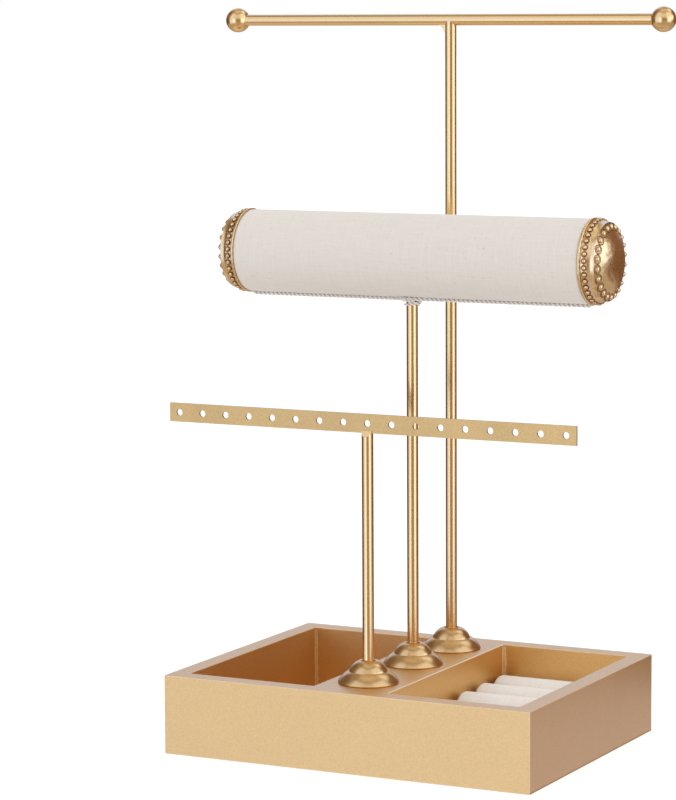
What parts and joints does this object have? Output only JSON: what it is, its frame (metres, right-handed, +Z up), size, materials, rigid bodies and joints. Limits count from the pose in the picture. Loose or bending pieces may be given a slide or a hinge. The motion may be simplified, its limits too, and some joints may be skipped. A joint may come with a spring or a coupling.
{
  "type": "jewelry stand",
  "caption": "Open gold tray with a ring insert and three T-shaped stands on its middle rail: an earring bar, a cloth bracelet roll and a necklace bar.",
  "frame": {"origin": "middle of the tray's underside", "axes": "+X to the right along the tray's front, +Y to the back, +Z up along the posts"},
  "size_m": [0.2648, 0.163, 0.3898],
  "materials": {
    "gold_painted_board": "satin metallic gold paint",
    "insert_brass": "machined",
    "gold_metal": "satin gold",
    "cap_gold": "burnished gold",
    "core_wood": "bare",
    "tube_card": "bare",
    "linen": "fine plain weave",
    "twisted_cord": "two-ply twist",
    "insert_card": "bare",
    "ring_roll_linen": "padded cloth"
  },
  "bodies": {
    "base": {"front_board": "gold_painted_board", "back_board": "gold_painted_board", "left_board": "gold_painted_board", "right_board": "gold_painted_board", "floor_panel": "gold_painted_board", "post_rail": "gold_painted_board", "left_divider": "gold_painted_board", "right_divider": "gold_painted_board", "front_threaded_insert": "insert_brass", "middle_threaded_insert": "insert_brass", "rear_threaded_insert": "insert_brass", "front_flange": "gold_metal", "middle_flange": "gold_metal", "rear_flange": "gold_metal"},
    "earring_stand": {"earring_post": "gold_metal", "earring_bar": "gold_metal"},
    "bracelet_stand": {"bracelet_post": "gold_metal", "roll_core": "core_wood", "roll_tube": "tube_card", "roll_cover": "linen", "roll_cord": "twisted_cord", "left_roll_cap": "cap_gold", "right_roll_cap": "cap_gold"},
    "necklace_stand": {"necklace_post": "gold_metal", "necklace_bar": "gold_metal", "left_ball": "gold_metal", "right_ball": "gold_metal"},
    "ring_insert": {"ring_insert_board": "insert_card", "ring_roll_1": "ring_roll_linen", "ring_roll_2": "ring_roll_linen", "ring_roll_3": "ring_roll_linen", "ring_roll_4": "ring_roll_linen", "ring_roll_5": "ring_roll_linen", "ring_roll_6": "ring_roll_linen"}
  },
  "joints": [
    {"name": "earring_swivel", "type": "hinge", "parent": "base", "child": "earring_stand", "pos_m": [0, -0.051, 0.042], "axis": [0, 0, 1], "range_deg": [-80, 80]},
    {"name": "bracelet_swivel", "type": "hinge", "parent": "base", "child": "bracelet_stand", "pos_m": [0, 0.002, 0.042], "axis": [0, 0, 1], "range_deg": [-50, 50]},
    {"name": "necklace_swivel", "type": "hinge", "parent": "base", "child": "necklace_stand", "pos_m": [0, 0.05, 0.042], "axis": [0, 0, 1], "continuous": true},
    {"name": "ring_insert_lift", "type": "slide", "parent": "base", "child": "ring_insert", "axis": [0, 0, 1], "range_m": [0, 0.06]}
  ]
}
